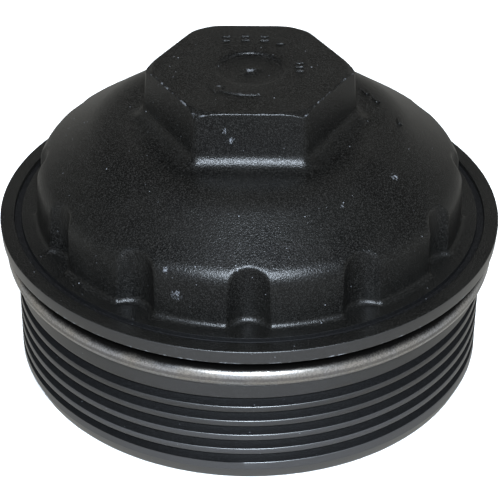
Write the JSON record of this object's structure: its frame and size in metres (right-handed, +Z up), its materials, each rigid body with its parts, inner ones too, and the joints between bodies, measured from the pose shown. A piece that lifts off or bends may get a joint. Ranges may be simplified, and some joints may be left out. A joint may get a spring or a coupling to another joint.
{
  "type": "oil filter cover",
  "caption": "Round screw-on cover for a cartridge oil filter, with a hexagon on a fluted dome, a sealed threaded skirt, a bypass valve cage and a short pleated element inside.",
  "frame": {"origin": "centre of the cover's axis in the plane of the skirt's rim, which is what the part stands on", "axes": "+Z up along the cover's axis, towards the hexagon; -Y square to one flat of the hexagon and through the middle of one flute of the grip band"},
  "size_m": [0.0898, 0.0898, 0.0578],
  "materials": {
    "filter_cap": "satin, fine spark-eroded grain",
    "housing_seal_ring": "oiled satin",
    "valve_cage": "satin",
    "cage_snap_ring": "bright spring steel",
    "valve_seat_ring": "turned",
    "valve_disc": "pressed, zinc plated",
    "valve_disc_seal": "matt",
    "stem_washer": "pressed, zinc plated",
    "valve_stem": "turned",
    "bypass_spring": "drawn wire",
    "spring_seat": "pressed, zinc plated",
    "spring_seat_clip": "phosphated spring steel",
    "upper_end_plate": "tin plate",
    "lower_end_plate": "tin plate",
    "upper_bore_seal": "matt",
    "lower_bore_seal": "matt",
    "upper_potting_ring": "cured plastisol",
    "lower_potting_ring": "cured plastisol",
    "pleated_media": "resin-impregnated, pleated",
    "pleat_seam_clip": "tin plate",
    "centre_tube": "punched tin plate"
  },
  "bodies": {
    "element": {"upper_end_plate": "upper_end_plate", "lower_end_plate": "lower_end_plate", "upper_bore_seal": "upper_bore_seal", "lower_bore_seal": "lower_bore_seal", "upper_potting_ring": "upper_potting_ring", "lower_potting_ring": "lower_potting_ring", "pleated_media": "pleated_media", "pleat_seam_clip": "pleat_seam_clip", "centre_tube": "centre_tube"},
    "cage": {"valve_cage": "valve_cage", "valve_seat_ring": "valve_seat_ring", "spring_seat": "spring_seat", "spring_seat_clip": "spring_seat_clip", "bypass_spring": "bypass_spring"},
    "cover": {"filter_cap": "filter_cap", "housing_seal_ring": "housing_seal_ring", "cage_snap_ring": "cage_snap_ring"},
    "valve": {"valve_disc": "valve_disc", "valve_disc_seal": "valve_disc_seal", "stem_washer": "stem_washer", "valve_stem": "valve_stem"}
  },
  "joints": [
    {"name": "cover_pull_off", "type": "slide", "parent": "element", "child": "cage", "axis": [0, 0, 1], "range_m": [0, 0.036]},
    {"name": "cover_turn", "type": "hinge", "parent": "cage", "child": "cover", "pos_m": [0, 0, 0.041], "axis": [0, 0, 1], "continuous": true},
    {"name": "bypass_lift", "type": "slide", "parent": "cage", "child": "valve", "axis": [0, 0, -1], "range_m": [0, 0.0035], "stiffness_N_per_m": 2000, "springref_m": -0.0001, "deforming": ["bypass_spring"]}
  ]
}
